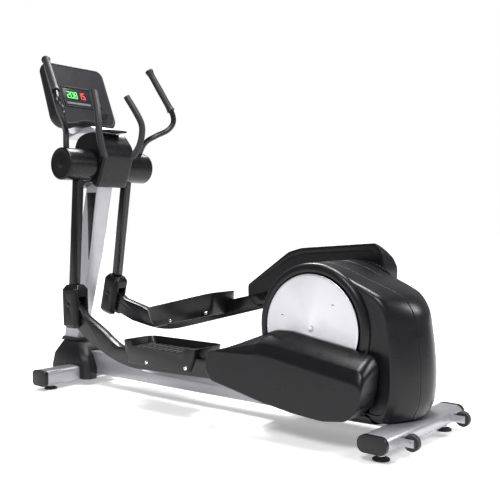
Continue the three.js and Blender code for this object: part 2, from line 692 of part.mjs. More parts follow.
function buildDrive() {
  add('crank_bearing_post', bearingPost(CRANK_AXIS, 90, 32, AXLE_RADIUS), silverPaint);
  add('crankshaft', crankshaft(), steel);
  add('drive_pulley', wheelOnAxle(CRANK_AXIS, DRIVE_PULLEY, 10, 3, 30, AXLE_RADIUS + GAP, 42, 62), castIron);
  for (const [side, sign] of Object.entries(SIDES)) {
    add(`crank_disc_${side}`, mirrored(crankDisc(), sign), discPaint);
  }
  add('flywheel_post', bearingPost(FLYWHEEL, 34, 10, 10), silverPaint);
  const spindle = join(cylinderY(FLYWHEEL.x, FLYWHEEL.z, 10, -63, 44, 20),
    cylinderY(FLYWHEEL.x, FLYWHEEL.z, FLYWHEEL.pulley, 42, 62, 28));
  const wheel = wheelOnAxle(FLYWHEEL, FLYWHEEL.radius, 30, 6, 26, 9, -60, -14);
  add('flywheel', join(wheel, spindle), castIron);
  const loop = beltLoop(GAP + 0.5 + BELT.thickness);
  loop.holes.push(new THREE.Path(beltLoop(GAP + 0.5).getPoints(10)));
  add('drive_belt', plate(loop, BELT.y0, BELT.y1, 10), rubber);
}

// ---------------------------------------------------------------- drive housing
// Side outline of the housing, clockwise from its lower front corner, on the machine's middle plane.
const HOUSING_OUTLINE = [
  [330, 88], [306, 118], [298, 230], [298, 386], [316, 500], [372, 602], [456, 661], [545, 682],
  [640, 662], [735, 626], [848, 586], [910, 556], [948, 505], [964, 434], [976, 350], [982, 272], [978, 190],
  [962, 140], [930, 101], [845, 101], [838, 88],
];
const HOUSING_CENTRE = { x: 640, z: 390 };
const HOUSING_REAR = { middle: 978, side: 895, power: 1.6 };

// Seen from above the housing narrows towards the rear: its rear edge moves forward with |y|.
function housingRing(y, inset) {
  const scale = 1 - inset / 300;
  const { middle, side, power } = HOUSING_REAR;
  const rear = middle - (middle - side) * (Math.abs(y) / HOUSING_HALF_WIDTH) ** power;
  const taper = (rear - HOUSING_CENTRE.x) / (middle - HOUSING_CENTRE.x);
  return HOUSING_OUTLINE.map(([x, z]) => [
    HOUSING_CENTRE.x + (x - HOUSING_CENTRE.x) * scale * (x > HOUSING_CENTRE.x ? taper : 1), y,
    HOUSING_CENTRE.z + (z - HOUSING_CENTRE.z) * scale,
  ]);
}

function housingShell() {
  const outerFace = -HOUSING_HALF_WIDTH;
  const seam = -HOUSING_BAND - GAP;
  const wall = HOUSING_WALL;
  const outer = loft([
    housingRing(outerFace, 16), housingRing(outerFace + 8, 5), housingRing(outerFace + 22, 0),
    housingRing(-105, 0), housingRing(seam, 0),
  ]);
  const cavity = loft([housingRing(outerFace + wall, 22), housingRing(outerFace + 24, wall),
    housingRing(-105, wall), housingRing(seam, wall), housingRing(seam + 10, wall)]);
  const axleHole = cylinderY(CRANK_AXIS.x, CRANK_AXIS.z, 34, outerFace - 10, outerFace + 20, 28);
  return cut(outer, cavity, axleHole);
}

function housingBand() {
  const edge = HOUSING_BAND;
  const wall = HOUSING_WALL;
  const outer = loft([housingRing(-edge, 0), housingRing(0, 0), housingRing(edge, 0)]);
  const cavity = loft([housingRing(-edge - 5, wall), housingRing(0, wall), housingRing(edge + 5, wall)]);
  const beamHalf = BEAM_HALF_WIDTH + 1;
  const beamTunnel = box(280, REAR_BAR.x, -beamHalf, beamHalf, 0, BEAM_TOP + 1);
  const floorOpening = box(345, 835, -edge - 5, edge + 5, 80, 100);
  return cut(outer, cavity, beamTunnel, floorOpening);
}

function buildHousing() {
  for (const [side, sign] of Object.entries(SIDES)) {
    add(`housing_shell_${side}`, mirrored(housingShell(), sign), darkPlastic);
  }
  add('housing_band', housingBand(), darkPlastic);
}

// ---------------------------------------------------------------- console
// Local frame: origin at the middle of the face, +X out of the face, +Z up along it.
const FACE_THICKNESS = 6;
const POCKET_DEPTH = 3;
const SCREEN = { y: -27, z: -13, width: 170, height: 95 };
const BUTTONS = [
  { name: 'level_up_button', y: 106, z: 6, radius: 9 },
  { name: 'level_down_button', y: 108, z: -40, radius: 9 },
  { name: 'start_button', y: -166, z: -59, radius: 8 },
  { name: 'stop_button', y: -146, z: -77, radius: 8 },
];

// Rounded rectangle in the console's YZ plane, extruded along +X from x0 to x1.
function facePlate(y, z, width, height, corner, x0, x1, curveSegments = 2) {
  const shape = roundedOutline(y, z, width, height, corner);
  const geometry = new THREE.ExtrudeGeometry(shape, { depth: x1 - x0, bevelEnabled: false, curveSegments });
  // shape X becomes Y, shape Y becomes Z and the extrusion runs along X
  return geometry.applyMatrix4(new THREE.Matrix4().makeBasis(
    new THREE.Vector3(0, 1, 0), new THREE.Vector3(0, 0, 1), new THREE.Vector3(1, 0, 0))).translate(x0, 0, 0);
}

// The shallow arch cut into the console's lower edge.
function lowerNotch(height) {
  return cylinderY(0, 0, 80, -60, 60)
    .rotateZ(Math.PI / 2).scale(1, 1, 0.4).translate(-30, 0, -height / 2 - 6);
}

function consoleBack() {
  const { width, height, depth } = CONSOLE;
  const front = -FACE_THICKNESS - GAP;
  const shell = facePlate(0, 0, width, height, 52, -depth, front);
  const slope = box(-depth - 50, -depth + 26, -width, width, -6, 60).translate(0, 0, height / 2);
  slope.rotateY(radians(24)).translate(-38, 0, 28);
  const cavity = facePlate(0, 0, width - 10, height - 10, 47, -depth + 5, front + 5);
  return cut(cut(shell, cavity), slope, lowerNotch(height));
}

function consoleFace() {
  const { width, height } = CONSOLE;
  const panel = facePlate(0, 0, width, height, 52, -FACE_THICKNESS, 0);
  const window = facePlate(SCREEN.y, SCREEN.z, SCREEN.width + 2 * GAP, SCREEN.height + 2 * GAP,
    6, -POCKET_DEPTH, 9);
  const holes = BUTTONS.map(({ y, z, radius }) =>
    facePlate(y, z, 2 * (radius + GAP), 2 * (radius + GAP), radius + GAP, -20, 9));
  return cut(panel, window, lowerNotch(height), ...holes);
}

function buildConsole() {
  const console = new THREE.Group();
  console.position.set(CONSOLE.centre.x, 0, CONSOLE.centre.z);
  console.rotation.y = -radians(CONSOLE.tilt);
  machine.add(console);
  add('console_back', consoleBack(), darkPlastic, console);
  add('console_face', consoleFace(), darkPlastic, console);
  const glass = facePlate(SCREEN.y, SCREEN.z, SCREEN.width, SCREEN.height, 6, -POCKET_DEPTH + GAP, 0.5);
  add('display_window', glass, screen, console);
  for (const { name, y, z, radius } of BUTTONS) {
    add(name, facePlate(y, z, 2 * radius, 2 * radius, radius, -5.5, 3), rubber, console);
  }
}

buildBase();
buildTransportWheels();
buildMast();
buildFixedHandlebars();
for (const [side, sign] of Object.entries(SIDES)) {
  buildSwingArm(side, sign);
  buildLever(side, sign);
}
buildDrive();
buildHousing();
buildConsole();

export default machine;
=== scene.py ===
"""Elliptical trainer: materials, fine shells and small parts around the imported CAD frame.

Units are metres. +X points to the rear (drive housing), -X to the front (console), -Y is the
user's left and the floor is z = 0. Shapes are worked out from the CAD nodes' boxes and joints.
"""

import json
import math

import bmesh
import bpy
from mathutils import Euler, Matrix, Vector


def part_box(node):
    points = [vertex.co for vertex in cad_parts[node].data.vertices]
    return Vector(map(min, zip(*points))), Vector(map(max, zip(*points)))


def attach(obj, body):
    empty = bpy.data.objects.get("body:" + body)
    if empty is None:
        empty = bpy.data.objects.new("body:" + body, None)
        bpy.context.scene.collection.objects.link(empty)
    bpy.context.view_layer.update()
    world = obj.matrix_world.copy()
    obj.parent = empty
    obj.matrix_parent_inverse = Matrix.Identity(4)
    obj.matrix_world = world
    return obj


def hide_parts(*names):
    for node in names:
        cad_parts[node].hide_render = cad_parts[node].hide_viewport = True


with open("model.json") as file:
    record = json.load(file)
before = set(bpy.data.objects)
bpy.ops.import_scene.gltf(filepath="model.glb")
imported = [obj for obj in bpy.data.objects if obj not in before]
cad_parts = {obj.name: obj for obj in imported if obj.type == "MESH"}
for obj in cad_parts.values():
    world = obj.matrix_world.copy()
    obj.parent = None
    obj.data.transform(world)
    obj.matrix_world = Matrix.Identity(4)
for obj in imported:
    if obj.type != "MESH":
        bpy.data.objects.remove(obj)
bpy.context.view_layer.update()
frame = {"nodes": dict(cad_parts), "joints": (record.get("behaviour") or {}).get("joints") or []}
NODES = frame["nodes"]
JOINTS = {joint["name"]: joint for joint in frame["joints"]}
SIDES = {"left": -1, "right": 1}
MM = 0.001


def joint_point(name):
    return Vector(JOINTS[name]["pos_m"])


CRANK = joint_point("crank_spin")
SWING = joint_point("left_swing")

# ------------------------------------------------------------------ camera, light and floor
CAMERA_AZIMUTH = 38.786
CAMERA_ELEVATION = 2.298
CAMERA_PLACE = (2.3417, -2.7008, 0.8545)
CAMERA_LENS = 56.96
CAMERA_SENSOR = 36

# brightness of the surroundings as the machine sees them; the backdrop itself shows white
ROOM_LIGHT = 0.24
LAMP_TARGET = (0.1, 0, 0.6)
# place, width in metres and watts of each round lamp
LAMPS = {
    "key": ((1.6, -3.2, 3.4), 1.4, 125),
    "overhead": ((0.5, 0.4, 4.0), 1.6, 190),
    "rim": ((3.6, 1.8, 2.6), 1.2, 85),
    "crest": ((-2.3, 2.7, 4.8), 2.0, 240),
}
FLOOR_SIZE = 60
FLOOR_LIFT = (0.3, 1.0)  # the floor's own glow near the machine and far from it
FLOOR_FADE = (2.0, 6.0)  # metres from the middle between which that glow rises


def make_camera():
    data = bpy.data.cameras.new("camera")
    data.lens = CAMERA_LENS
    data.sensor_width = CAMERA_SENSOR
    camera = bpy.data.objects.new("camera", data)
    camera.location = CAMERA_PLACE
    tilt = math.radians(90 - CAMERA_ELEVATION)
    camera.rotation_euler = Euler((tilt, 0, math.radians(CAMERA_AZIMUTH)))
    bpy.context.scene.collection.objects.link(camera)
    bpy.context.scene.camera = camera


def area_light(name, place, target, width, power):
    data = bpy.data.lights.new(name, "AREA")
    data.shape = "DISK"
    data.size = width
    data.energy = power
    light = bpy.data.objects.new(name, data)
    light.location = place
    direction = Vector(target) - Vector(place)
    light.rotation_euler = direction.to_track_quat("-Z", "Y").to_euler()
    bpy.context.scene.collection.objects.link(light)


def make_studio():
    scene = bpy.context.scene
    scene.view_settings.view_transform = "Standard"
    world = bpy.data.worlds.new("studio")
    world.use_nodes = True
    tree = world.node_tree
    background = tree.nodes["Background"]
    background.inputs["Color"].default_value = (1.0, 1.0, 1.0, 1)
    strength = tree.nodes.new("ShaderNodeMapRange")
    strength.inputs["To Min"].default_value = ROOM_LIGHT
    strength.inputs["To Max"].default_value = 1.0
    seen = tree.nodes.new("ShaderNodeLightPath").outputs["Is Camera Ray"]
    tree.links.new(seen, strength.inputs["Value"])
    tree.links.new(strength.outputs["Result"], background.inputs["Strength"])
    scene.world = world
    for name, (place, width, power) in LAMPS.items():
        area_light(name, place, LAMP_TARGET, width, power)
    floor = new_object("floor", grid_mesh(FLOOR_SIZE, FLOOR_SIZE))
    paint = surface("floor_paint", (0.93, 0.93, 0.935), 0.8, mottle=0.01, specular=0.2)
    shader = paint.node_tree.nodes["Principled BSDF"]
    shader.inputs["Emission Color"].default_value = (1, 1, 1, 1)
    place = paint.node_tree.nodes.new("ShaderNodeTexCoord").outputs["Object"]
    reach = paint.node_tree.nodes.new("ShaderNodeVectorMath")
    reach.operation = "LENGTH"
    fade = paint.node_tree.nodes.new("ShaderNodeMapRange")
    for name, value in zip(("From Min", "From Max", "To Min", "To Max"), FLOOR_FADE + FLOOR_LIFT):
        fade.inputs[name].default_value = value
    paint.node_tree.links.new(place, reach.inputs[0])
    paint.node_tree.links.new(reach.outputs["Value"], fade.inputs["Value"])
    paint.node_tree.links.new(fade.outputs["Result"], shader.inputs["Emission Strength"])
    floor.data.materials.append(paint)


# ------------------------------------------------------------------ materials
COAT_ROUGHNESS = 0.12
GRAIN_DEPTH = 0.4        # millimetres
COLOUR_SCALE = 7.0       # noise scale of the colour variation, per metre
GLOSS_SCALE = 23.0       # noise scale of the uneven gloss
GLOSS_SPREAD = 0.12      # how far the roughness wanders, as a share of it


def surface(name, colour, roughness, metallic=0.0, coat=0.0, grain=None, mottle=0.08,
            specular=0.5, sheen=0.0, brushed=None):
    """A finish with slow colour variation, uneven gloss and a fine moulded or sprayed grain."""
    material = bpy.data.materials.new(name)
    material.use_nodes = True
    tree = material.node_tree
    shader = tree.nodes["Principled BSDF"]
    shader.inputs["Metallic"].default_value = metallic
    shader.inputs["Coat Weight"].default_value = coat
    shader.inputs["Coat Roughness"].default_value = COAT_ROUGHNESS
    shader.inputs["Specular IOR Level"].default_value = specular
    shader.inputs["Sheen Weight"].default_value = sheen
    place = tree.nodes.new("ShaderNodeTexCoord").outputs["Object"]

    def noise(scale, detail=3.0, stretch=None):
        node = tree.nodes.new("ShaderNodeTexNoise")
        node.inputs["Scale"].default_value = scale
        node.inputs["Detail"].default_value = detail
        source = place
        if stretch:
            mapping = tree.nodes.new("ShaderNodeMapping")
            mapping.inputs["Scale"].default_value = stretch
            tree.links.new(place, mapping.inputs["Vector"])
            source = mapping.outputs["Vector"]
        tree.links.new(source, node.inputs["Vector"])
        return node.outputs["Fac"]

    tint = tree.nodes.new("ShaderNodeValToRGB")
    low = [channel * (1 - mottle) for channel in colour]
    high = [min(1, channel * (1 + mottle)) for channel in colour]
    tint.color_ramp.elements[0].position = 0.3
    tint.color_ramp.elements[0].color = (*low, 1)
    tint.color_ramp.elements[1].position = 0.7
    tint.color_ramp.elements[1].color = (*high, 1)
    tree.links.new(noise(COLOUR_SCALE), tint.inputs["Fac"])
    tree.links.new(tint.outputs["Color"], shader.inputs["Base Color"])

    gloss = tree.nodes.new("ShaderNodeMapRange")
    gloss.inputs["From Min"].default_value = 0.3
    gloss.inputs["From Max"].default_value = 0.7
    gloss.inputs["To Min"].default_value = max(0.03, roughness * (1 - GLOSS_SPREAD))
    gloss.inputs["To Max"].default_value = min(1, roughness * (1 + GLOSS_SPREAD))
    tree.links.new(noise(GLOSS_SCALE, 5.0, brushed), gloss.inputs["Value"])
    tree.links.new(gloss.outputs["Result"], shader.inputs["Roughness"])

    if grain:
        scale, strength = grain
        bump = tree.nodes.new("ShaderNodeBump")
        bump.inputs["Strength"].default_value = strength
        bump.inputs["Distance"].default_value = GRAIN_DEPTH * MM
        tree.links.new(noise(scale, 2.0, brushed), bump.inputs["Height"])
        tree.links.new(bump.outputs["Normal"], shader.inputs["Normal"])
    return material


def glow(name, colour, strength):
    """A lit display segment."""
    material = surface(name, colour, 0.4, mottle=0.02)
    shader = material.node_tree.nodes["Principled BSDF"]
    shader.inputs["Emission Color"].default_value = (*colour, 1)
    shader.inputs["Emission Strength"].default_value = strength
    return material


# ------------------------------------------------------------------ mesh helpers
FLAT_FACE_WEIGHT = 90      # how strongly large flat faces set the shading of their edges


def new_object(name, mesh):
    piece = bpy.data.objects.new(name, mesh)
    bpy.context.scene.collection.objects.link(piece)
    return piece


def grid_mesh(width, depth):
    mesh = bpy.data.meshes.new("sheet")
    bm = bmesh.new()
    bmesh.ops.create_grid(bm, x_segments=8, y_segments=8, size=0.5)
    bmesh.ops.scale(bm, vec=(width, depth, 1), verts=bm.verts)
    bm.to_mesh(mesh)
    bm.free()
    return mesh


def add_piece(name, bm, material, body, replaces=()):
    """Turns a bmesh into a finished piece riding on a CAD body."""
    bmesh.ops.recalc_face_normals(bm, faces=bm.faces)
    mesh = bpy.data.meshes.new(name)
    bm.to_mesh(mesh)
    bm.free()
    mesh.polygons.foreach_set("use_smooth", [True] * len(mesh.polygons))
    mesh.materials.append(material)
    piece = new_object(name, mesh)
    piece.modifiers.new("even_shading", "WEIGHTED_NORMAL").weight = FLAT_FACE_WEIGHT
    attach(piece, body)
    if replaces:
        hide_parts(*replaces)


def soften(node, width, segments, angle):
    """Rounds the hard edges of a CAD node and keeps its flat faces flat."""
    bevel = node.modifiers.new("round_edges", "BEVEL")
    bevel.width = width
    bevel.segments = segments
    bevel.limit_method = "ANGLE"
    bevel.angle_limit = math.radians(angle)
    bevel.harden_normals = True


def skin(rings, closed_ends=True, cyclic=True):
    """A surface through rings of equally many points."""
    bm = bmesh.new()
    rows = [[bm.verts.new(point) for point in ring] for ring in rings]
    count = len(rows[0])
    span = count if cyclic else count - 1
    for a, b in zip(rows, rows[1:]):
        for i in range(span):
            j = (i + 1) % count
            bm.faces.new((a[i], a[j], b[j], b[i]))
    if closed_ends:
        bm.faces.new(rows[0][::-1])
        bm.faces.new(rows[-1])
    return bm


def turned(profile, centre, steps=48, axis="Y"):
    """A round body. Its profile, (radius, place along the axis), ends on the axis or is closed."""
    rings = []
    for k in range(steps):
        turn = 2 * math.pi * k / steps
        ring = []
        for radius, along in profile:
            c, s = radius * math.cos(turn), radius * math.sin(turn)
            offset = (c, along, s) if axis == "Y" else (c, s, along)
            ring.append(Vector(centre) + Vector(offset))
        rings.append(ring)
    rings.append(rings[0])
    bm = skin(rings, closed_ends=False, cyclic=False)
    bmesh.ops.remove_doubles(bm, verts=bm.verts, dist=1e-6)
    return bm


def merge(*parts):
    """Joins several bmeshes into the first."""
    whole = parts[0]
    for part in parts[1:]:
        mesh = bpy.data.meshes.new("part")
        part.to_mesh(mesh)
        part.free()
        whole.from_mesh(mesh)
        bpy.data.meshes.remove(mesh)
    return whole


def block(low, high, bevel, segments=2):
    """A box between two corners with rounded edges."""
    bm = bmesh.new()
    bmesh.ops.create_cube(bm, size=1)
    low, high = Vector(low), Vector(high)
    bmesh.ops.scale(bm, vec=high - low, verts=bm.verts)
    bmesh.ops.translate(bm, vec=(low + high) / 2, verts=bm.verts)
    bmesh.ops.bevel(bm, geom=bm.edges, offset=bevel, segments=segments, profile=0.5, affect="EDGES")
    return bm


def screw(centre, radius, side, depth=3.0):
    """A button-head screw with a round socket; its head points along side * Y."""
    out = side * MM
    r = radius
    return turned([
        (0, -2 * out), (r * 1.25, -2 * out), (r * 1.25, 0.8 * out), (r, 0.9 * out),
        (r * 0.86, depth * 0.8 * out), (r * 0.55, depth * out), (r * 0.5, depth * out),
        (r * 0.45, 0.5 * out), (0, 0.5 * out),
    ], centre, 24)


def round_corners(points, radius, steps=5):
    """A closed outline with each corner replaced by a short curve."""
    out = []
    count = len(points)
    for i, corner in enumerate(points):
        corner = Vector(corner)
        before, after = Vector(points[i - 1]) - corner, Vector(points[(i + 1) % count]) - corner
        start = corner + before * min(0.48, radius / before.length)
        end = corner + after * min(0.48, radius / after.length)
        for k in range(steps + 1):
            t = k / steps
            out.append(start * (1 - t) ** 2 + corner * 2 * t * (1 - t) + end * t * t)
    return out


def smooth_path(points, per_span=6):
    """Catmull-Rom points through a closed outline."""
    out = []
    count = len(points)
    for i in range(count):
        p0, p1, p2, p3 = (Vector(points[(i + k) % count]) for k in (-1, 0, 1, 2))
        for k in range(per_span):
            t = k / per_span
            out.append(0.5 * (2 * p1 + (p2 - p0) * t + (2 * p0 - 5 * p1 + 4 * p2 - p3) * t * t
                              + (3 * p1 - p0 - 3 * p2 + p3) * t ** 3))
    return out


# ------------------------------------------------------------------ finishes
silver = surface("silver_paint", (0.33, 0.325, 0.345), 0.36, 0.5, coat=0.15,
                 grain=(900, 0.06), mottle=0.03)
disc_silver = surface("disc_silver", (0.62, 0.62, 0.645), 0.34, 0.7, grain=(700, 0.04), mottle=0.03)
disc_shader = disc_silver.node_tree.nodes["Principled BSDF"]
disc_shader.inputs["Anisotropic"].default_value = 0.75
turning = disc_silver.node_tree.nodes.new("ShaderNodeTangent")
turning.direction_type = "RADIAL"
turning.axis = "Y"
disc_silver.node_tree.links.new(turning.outputs["Tangent"], disc_shader.inputs["Tangent"])
black_gloss = surface("black_paint", (0.0045, 0.0042, 0.0052), 0.24, 0.0, coat=0.05, specular=0.3,
                      grain=(800, 0.05))
shell_plastic = surface("shell_plastic", (0.0065, 0.0062, 0.0075), 0.3, specular=0.24,
                        grain=(1500, 0.12), mottle=0.12)
cover_plastic = surface("cover_plastic", (0.0055, 0.005, 0.0062), 0.3, specular=0.2,
                        grain=(1300, 0.14), mottle=0.12)
console_plastic = surface("console_plastic", (0.0095, 0.0088, 0.011), 0.44, specular=0.18,
                          grain=(1600, 0.22), mottle=0.1)
boot_plastic = surface("boot_plastic", (0.007, 0.0068, 0.008), 0.4, specular=0.28,
                       grain=(1200, 0.24), mottle=0.12)
pedal_plastic = surface("pedal_plastic", (0.005, 0.0048, 0.0056), 0.3, specular=0.28,
                        grain=(1100, 0.18), mottle=0.15)
hub_plastic = surface("hub_plastic", (0.005, 0.0048, 0.0057), 0.29, specular=0.2,
                      grain=(1300, 0.14), mottle=0.12)
foam = surface("grip_foam", (0.008, 0.0075, 0.009), 0.5, specular=0.3,
               grain=(2600, 0.4), mottle=0.2, sheen=0.08)
rubber = surface("rubber", (0.012, 0.012, 0.013), 0.75, grain=(900, 0.35), mottle=0.25, sheen=0.1)
wheel_rubber = surface("wheel_rubber", (0.014, 0.014, 0.015), 0.5, grain=(600, 0.2), mottle=0.2)
steel = surface("bare_steel", (0.62, 0.62, 0.64), 0.24, 1.0,
                grain=(300, 0.1), mottle=0.05, brushed=(1, 12, 1))
chrome = surface("chrome", (0.75, 0.75, 0.76), 0.12, 1.0, mottle=0.03)
iron = surface("cast_iron", (0.10, 0.10, 0.105), 0.55, 0.9, grain=(400, 0.6), mottle=0.3)
key_rubber = surface("key_rubber", (0.065, 0.065, 0.07), 0.6, grain=(1500, 0.25), mottle=0.1)
glass = surface("display_glass", (0.012, 0.012, 0.014), 0.3, specular=0.2, mottle=0.1)
green_glow = glow("green_digits", (0.10, 0.80, 0.12), 1.1)
red_glow = glow("red_digits", (0.85, 0.05, 0.05), 1.1)

CAD_FINISH = {
    silver: ["main_beam", "front_stabiliser", "rear_stabiliser", "mast", "console_neck",
             "crank_bearing_post", "flywheel_post"],
    boot_plastic: ["mast_boot", "bottle_holder"],
    hub_plastic: ["pivot_shroud", "mast_inlay_left", "mast_inlay_right"],
    rubber: ["mast_collar", "drive_belt"],
    steel: ["pivot_shaft", "crankshaft", "pivot_pin_left", "pivot_pin_right"],
    iron: ["drive_pulley", "flywheel"],
    shell_plastic: ["housing_band"],
    console_plastic: ["console_back", "console_face"],
    glass: ["display_window"],
    key_rubber: ["level_up_button", "level_down_button", "start_button", "stop_button"],
}
SIDE_FINISH = {
    shell_plastic: ["housing_shell"], hub_plastic: ["swing_hub", "pivot_sleeve"],
    black_gloss: ["swing_tube", "swing_handle", "pedal_lever"], foam: ["swing_grip", "fixed_handlebar"],
    cover_plastic: ["lever_cover"], pedal_plastic: ["pedal"], disc_silver: ["crank_disc"],
    wheel_rubber: ["transport_wheel"],
    boot_plastic: ["front_stabiliser_cap", "rear_stabiliser_cap"],
    rubber: ["front_levelling_foot", "rear_levelling_foot"],
}
# Edge radius of each CAD node in millimetres; nodes not named here take the first value.
EDGE_RADIUS = {"": 1.5, "main_beam": 3, "mast": 2.5, "mast_boot": 5, "pivot_shroud": 2, "console_neck": 4,
               "pivot_sleeve": 4, "pedal_lever": 3, "swing_tube": 2.5, "front_stabiliser_cap": 6,
               "rear_stabiliser_cap": 7, "swing_hub": 1.2, "crankshaft": 1, "pedal": 1.5,
               "transport_wheel": 1.2, "console_back": 2, "lever_cover": 6, "housing_shell": 2}
EDGE_STEPS = 3
EDGE_ANGLE = 32          # degrees between faces from which an edge is rounded
WELD_DISTANCE = 0.01

ROUND_BARS = ("swing_handle", "fixed_handlebar", "swing_grip")


def finish_cad_nodes():
    """Every CAD node gets its procedural finish and rounded edges."""
    finish = {node: material for material, nodes in CAD_FINISH.items() for node in nodes}
    for material, stems in SIDE_FINISH.items():
        finish.update({f"{stem}_{side}": material for stem in stems for side in SIDES})
    for name, node in NODES.items():
        node.data.materials.clear()
        node.data.materials.append(finish[name])
        node.data.polygons.foreach_set("use_smooth", [True] * len(node.data.polygons))
        if node.data.has_custom_normals:
            node.data.normals_split_custom_set([(0, 0, 0)] * len(node.data.loops))
        weld = node.modifiers.new("weld", "WELD")
        weld.merge_threshold = WELD_DISTANCE * MM
        stem = name.removesuffix("_left").removesuffix("_right")
        soften(node, EDGE_RADIUS.get(stem, EDGE_RADIUS[""]) * MM, EDGE_STEPS, EDGE_ANGLE)
        if stem in ROUND_BARS:
            node.modifiers.new("subdivide", "SUBSURF").render_levels = 2


# ------------------------------------------------------------------ frames of the moving parts
CRANK_RADIUS = 0.200
REST_ANGLE = math.radians(-63)            # left crank pin; the right one is half a turn on
TRAY_START = (0.330, 0, -0.168)           # in the lever's frame
TRAY_SLOPE = math.atan(0.1237)
CONSOLE_TILT = math.radians(22.4)
CONSOLE_CENTRE = SWING + Vector((-0.175, 0, 0.3745))


def turn_y(angle):
    return Matrix.Rotation(angle, 4, "Y")


def lever_frame(side):
    """Origin on the lower pivot, +X towards the crank pin."""
    angle = REST_ANGLE + (0 if side == "left" else math.pi)
    pin = CRANK + CRANK_RADIUS * Vector((math.cos(angle), 0, math.sin(angle)))
    pivot = joint_point(f"{side}_pedal_pivot")
    pitch = math.atan2(pin.z - pivot.z, pin.x - pivot.x)
    return Matrix.Translation((pivot.x, 0, pivot.z)) @ turn_y(-pitch)


def tray_frame(side):
    return lever_frame(side) @ Matrix.Translation(TRAY_START) @ turn_y(-TRAY_SLOPE)


def swing_frame(side):
    """Origin on the swing shaft, -Z down the arm."""
    pivot = joint_point(f"{side}_pedal_pivot")
    angle = math.atan2(SWING.x - pivot.x, SWING.z - pivot.z)
    return Matrix.Translation((SWING.x, 0, SWING.z)) @ turn_y(angle)


def console_frame():
    """Origin in the middle of the face, +X out of the face, +Z up along it."""
    return Matrix.Translation(CONSOLE_CENTRE) @ turn_y(-CONSOLE_TILT)


def moved(bm, matrix):
    bmesh.ops.transform(bm, matrix=matrix, verts=bm.verts)
    return bm


# ------------------------------------------------------------------ drive housing
# Side outline in millimetres: x from the crank axle, z from the floor.
HOUSING_OUTLINE = [
    (-225, 88), (-249, 112), (-257, 230), (-257, 386), (-239, 500), (-183, 602), (-99, 661),
    (-10, 682), (85, 662), (180, 626), (293, 586), (355, 556), (393, 505), (409, 434),
    (421, 350), (427, 272), (423, 190), (407, 140), (375, 101), (290, 101), (283, 88),
]
HOUSING_CENTRE = (85, 390)
HOUSING_HALF = 165
HOUSING_SEAM = 66
# distance of the rear edge from the centre, and how it falls off from the middle to the side
HOUSING_REAR = {"middle": 338, "side": 257, "power": 1.7}
REAR_SHARE = 0.5         # the rear edge is rounded less, because it tapers already
INSET_REACH = 300        # millimetres; an inset scales the outline by 1 - inset / INSET_REACH


def housing_ring(y, inset):
    """The outline at one place across the housing; its rear edge moves forward away from the middle."""
    cx, cz = HOUSING_CENTRE
    middle, side, power = HOUSING_REAR.values()
    taper = (middle - (middle - side) * min(1, abs(y) / HOUSING_HALF) ** power) / middle
    scale = 1 - inset / INSET_REACH
    rear_scale = taper * (1 - REAR_SHARE * inset / INSET_REACH)
    ring = []
    for point in smooth_path([(x, 0, z) for x, z in HOUSING_OUTLINE], 5):
        stretch = rear_scale if point.x > cx else scale
        x = cx + (point.x - cx) * stretch
        z = cz + (point.z - cz) * scale
        ring.append((x * MM + CRANK.x, y * MM, z * MM))
    return ring


def edge_round(start, radius, steps):
    """(|y|, inset) pairs of a quarter round that begins at |y| = start."""
    turns = [math.pi / 2 * k / steps for k in range(steps + 1)]
    return [(start + radius * math.sin(t), radius * (1 - math.cos(t))) for t in turns]


def make_housing():
    """Two side shells and a band between them, parted by fine grooves."""
    groove = [(HOUSING_SEAM + 0.3, 6), (HOUSING_SEAM + 0.3, 2.4), (HOUSING_SEAM + 2, 0.7),
              (HOUSING_SEAM + 5, 0)]
    body = [(y, 0) for y in (75, 90, 105, 120, 133)]
    face = [(HOUSING_HALF, 22), (HOUSING_HALF, 27), (HOUSING_HALF, 31), (HOUSING_HALF - 0.6, 32),
            (HOUSING_HALF - 2.4, 33.5), (HOUSING_HALF - 3, 35), (HOUSING_HALF - 3, 60)]
    profile = groove + body + edge_round(HOUSING_HALF - 20, 20, 8) + face
    for side, sign in SIDES.items():
        bm = skin([housing_ring(sign * y, inset) for y, inset in profile])
        add_piece(f"housing_side_{side}", bm, shell_plastic, "frame",
                  replaces=[f"housing_shell_{side}"])
    edge = HOUSING_SEAM - 0.3
    half = [(edge, 6), (edge, 1.2), (edge - 0.9, 0.2), (edge - 3, 0), (45, 0), (22, 0)]
    across = [(-y, inset) for y, inset in half] + [(0, 0)] + half[::-1]
    bm = skin([housing_ring(y, inset) for y, inset in across])
    add_piece("housing_centre", bm, shell_plastic, "frame", replaces=["housing_band"])


def make_hood_ring(side, sign):
    """The raised ring of the housing round the crank disc."""
    profile = [(217, 158), (217, 174), (218.5, 178), (223, 180.5), (232, 181), (243, 178.5),
               (250, 172), (254, 164), (254, 158), (217, 158)]
    bm = turned([(r * MM, sign * y * MM) for r, y in profile], (CRANK.x, 0, CRANK.z), 96)
    add_piece(f"hood_ring_{side}", bm, shell_plastic, "frame")


# Three screws on a circle of this radius; the first stands this many degrees from the crank pin.
DISC_SCREWS = {"first": 106, "circle": 0.14, "y": 0.1842}


